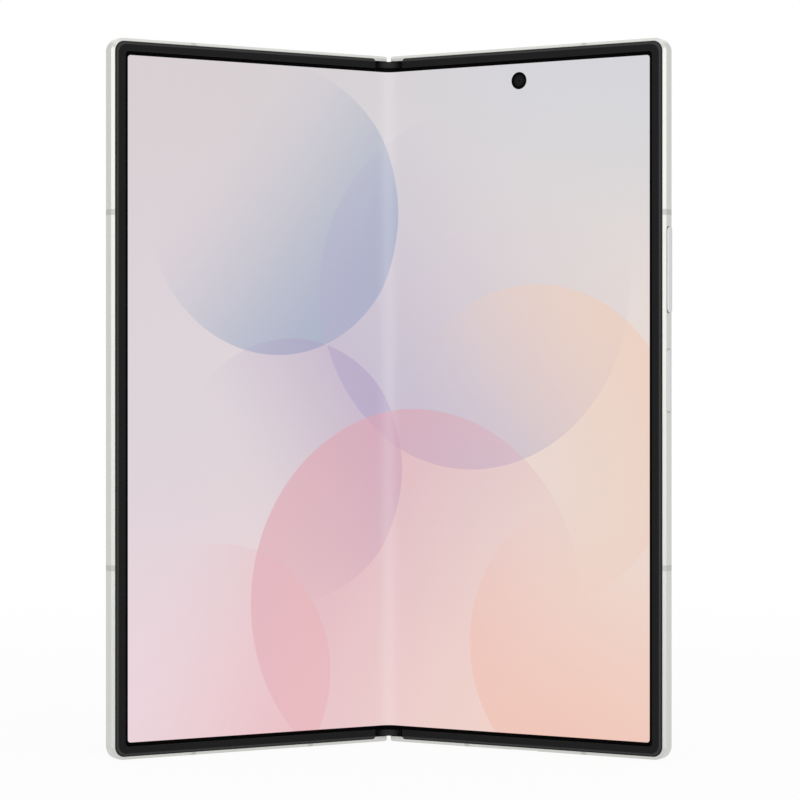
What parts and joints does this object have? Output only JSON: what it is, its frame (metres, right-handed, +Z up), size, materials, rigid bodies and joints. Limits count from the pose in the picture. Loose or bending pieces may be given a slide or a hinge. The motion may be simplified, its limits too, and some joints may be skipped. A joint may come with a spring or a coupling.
{
  "type": "foldable smartphone",
  "caption": "Book-type foldable smartphone standing half open, with a geared hinge, a flexible display across both halves and a rear camera housing.",
  "frame": {"origin": "centre of the bottom of the bounding box, in the half-open standing pose", "axes": "+Z up along the fold, +Y from the display to the spine, +X to the viewer's right when looking at the display"},
  "size_m": [0.1243, 0.0406, 0.1584],
  "materials": {
    "frame_metal": "fine bead-blasted anodised aluminium",
    "band_plastic": "matt plastic inlay",
    "bezel_rubber": "soft matt black",
    "display": "glossy polymer-topped display",
    "cap_plastic": "satin black",
    "spine_metal": "satin anodised",
    "hinge_steel": "fine machined steel",
    "gear_steel": "machined steel",
    "rear_glass": "frosted glass over a white film",
    "cover_glass": "glossy dark glass",
    "cover_panel": "dark display panel",
    "camera_black": "matt black",
    "ring_metal": "turned ring",
    "lens_glass": "dark coated glass",
    "flash_lens": "ribbed clear lens",
    "board": "solder mask",
    "shield_metal": "stamped nickel silver",
    "cell_foil": "foil pouch",
    "copper": "copper foil"
  },
  "bodies": {
    "spine": {"spine_cover": "spine_metal", "hinge_cap_top": "cap_plastic", "hinge_cap_bottom": "cap_plastic", "rail_bracket_upper": "hinge_steel", "rail_bracket_lower": "hinge_steel", "gear_bracket": "hinge_steel", "gear_shafts": "hinge_steel", "display_fold": "display"},
    "right_half": {"right_frame": "frame_metal", "right_antenna_bands": "band_plastic", "right_bezel": "bezel_rubber", "display_right": "display", "right_arm_upper": "hinge_steel", "right_arm_lower": "hinge_steel", "right_toothed_arm": "hinge_steel", "right_hinge_screws": "hinge_steel", "rear_glass": "rear_glass", "camera_housing": "frame_metal", "camera_upper": "camera_black", "camera_middle": "camera_black", "camera_lower": "camera_black", "camera_rings": "ring_metal", "camera_glasses": "lens_glass", "flash": "flash_lens", "inner_camera": "camera_black", "main_board": "board", "shield_cans": "shield_metal", "right_battery": "cell_foil", "charging_coil": "copper", "key_switches": "board", "sub_board": "board", "usb_shell": "shield_metal", "usb_tongue": "cap_plastic", "lower_speaker": "cap_plastic", "right_magnets": "shield_metal"},
    "left_half": {"left_frame": "frame_metal", "left_antenna_bands": "band_plastic", "left_bezel": "bezel_rubber", "display_left": "display", "left_arm_upper": "hinge_steel", "left_arm_lower": "hinge_steel", "left_toothed_arm": "hinge_steel", "left_hinge_screws": "hinge_steel", "cover_glass": "cover_glass", "cover_display": "cover_panel", "cover_camera": "camera_black", "left_battery": "cell_foil", "left_board": "board", "sim_reader": "shield_metal", "earpiece": "cap_plastic", "left_magnets": "shield_metal"},
    "pinion_left_outer": {"pinion_left_outer": "gear_steel"},
    "pinion_left_inner": {"pinion_left_inner": "gear_steel"},
    "pinion_right_inner": {"pinion_right_inner": "gear_steel"},
    "pinion_right_outer": {"pinion_right_outer": "gear_steel"},
    "right_wing": {"right_wing": "hinge_steel"},
    "left_wing": {"left_wing": "hinge_steel"},
    "volume_key": {"volume_key": "frame_metal"},
    "power_key": {"power_key": "frame_metal"},
    "sim_tray": {"sim_tray": "frame_metal"}
  },
  "joints": [
    {"name": "right_fold", "type": "hinge", "parent": "spine", "child": "right_half", "pos_m": [0.0015, 0.01727, 0.0792], "axis": [0, 0, -1], "range_deg": [-32, 58], "deforming": ["display_fold"]},
    {"name": "left_fold", "type": "hinge", "parent": "spine", "child": "left_half", "pos_m": [-0.0015, 0.01727, 0.0792], "axis": [0, 0, 1], "range_deg": [-32, 58]},
    {"name": "pinion_left_outer_turn", "type": "hinge", "parent": "spine", "child": "pinion_left_outer", "pos_m": [-0.00187, 0.01846, 0.0792], "axis": [0, 0, 1], "range_deg": [-96, 174]},
    {"name": "pinion_left_inner_turn", "type": "hinge", "parent": "spine", "child": "pinion_left_inner", "pos_m": [-0.00063, 0.01846, 0.0792], "axis": [0, 0, 1], "range_deg": [-174, 96]},
    {"name": "pinion_right_inner_turn", "type": "hinge", "parent": "spine", "child": "pinion_right_inner", "pos_m": [0.00063, 0.01846, 0.0792], "axis": [0, 0, -1], "range_deg": [-174, 96]},
    {"name": "pinion_right_outer_turn", "type": "hinge", "parent": "spine", "child": "pinion_right_outer", "pos_m": [0.00187, 0.01846, 0.0792], "axis": [0, 0, -1], "range_deg": [-96, 174]},
    {"name": "right_wing_tilt", "type": "hinge", "parent": "right_half", "child": "right_wing", "pos_m": [0.00736, 0.01343, 0.0792], "axis": [0, 0, -1], "range_deg": [-3.52, 6.38]},
    {"name": "left_wing_tilt", "type": "hinge", "parent": "left_half", "child": "left_wing", "pos_m": [-0.00736, 0.01343, 0.0792], "axis": [0, 0, 1], "range_deg": [-3.52, 6.38]},
    {"name": "volume_key_press", "type": "slide", "parent": "right_half", "child": "volume_key", "axis": [-0.848, 0.5299, 0], "range_m": [0, 0.00025], "stiffness_N_per_m": 2000},
    {"name": "power_key_press", "type": "slide", "parent": "right_half", "child": "power_key", "axis": [-0.848, 0.5299, 0], "range_m": [0, 0.00025], "stiffness_N_per_m": 2000},
    {"name": "sim_tray_slide", "type": "slide", "parent": "left_half", "child": "sim_tray", "axis": [0, 0, 1], "range_m": [0, 0.018]}
  ],
  "couplings": [
    {"joint": "left_fold", "follows": "right_fold", "ratio": 1},
    {"joint": "pinion_left_outer_turn", "follows": "right_fold", "ratio": 3},
    {"joint": "pinion_left_inner_turn", "follows": "right_fold", "ratio": -3},
    {"joint": "pinion_right_inner_turn", "follows": "right_fold", "ratio": -3},
    {"joint": "pinion_right_outer_turn", "follows": "right_fold", "ratio": 3},
    {"joint": "right_wing_tilt", "follows": "right_fold", "ratio": 0.11},
    {"joint": "left_wing_tilt", "follows": "right_fold", "ratio": 0.11}
  ]
}
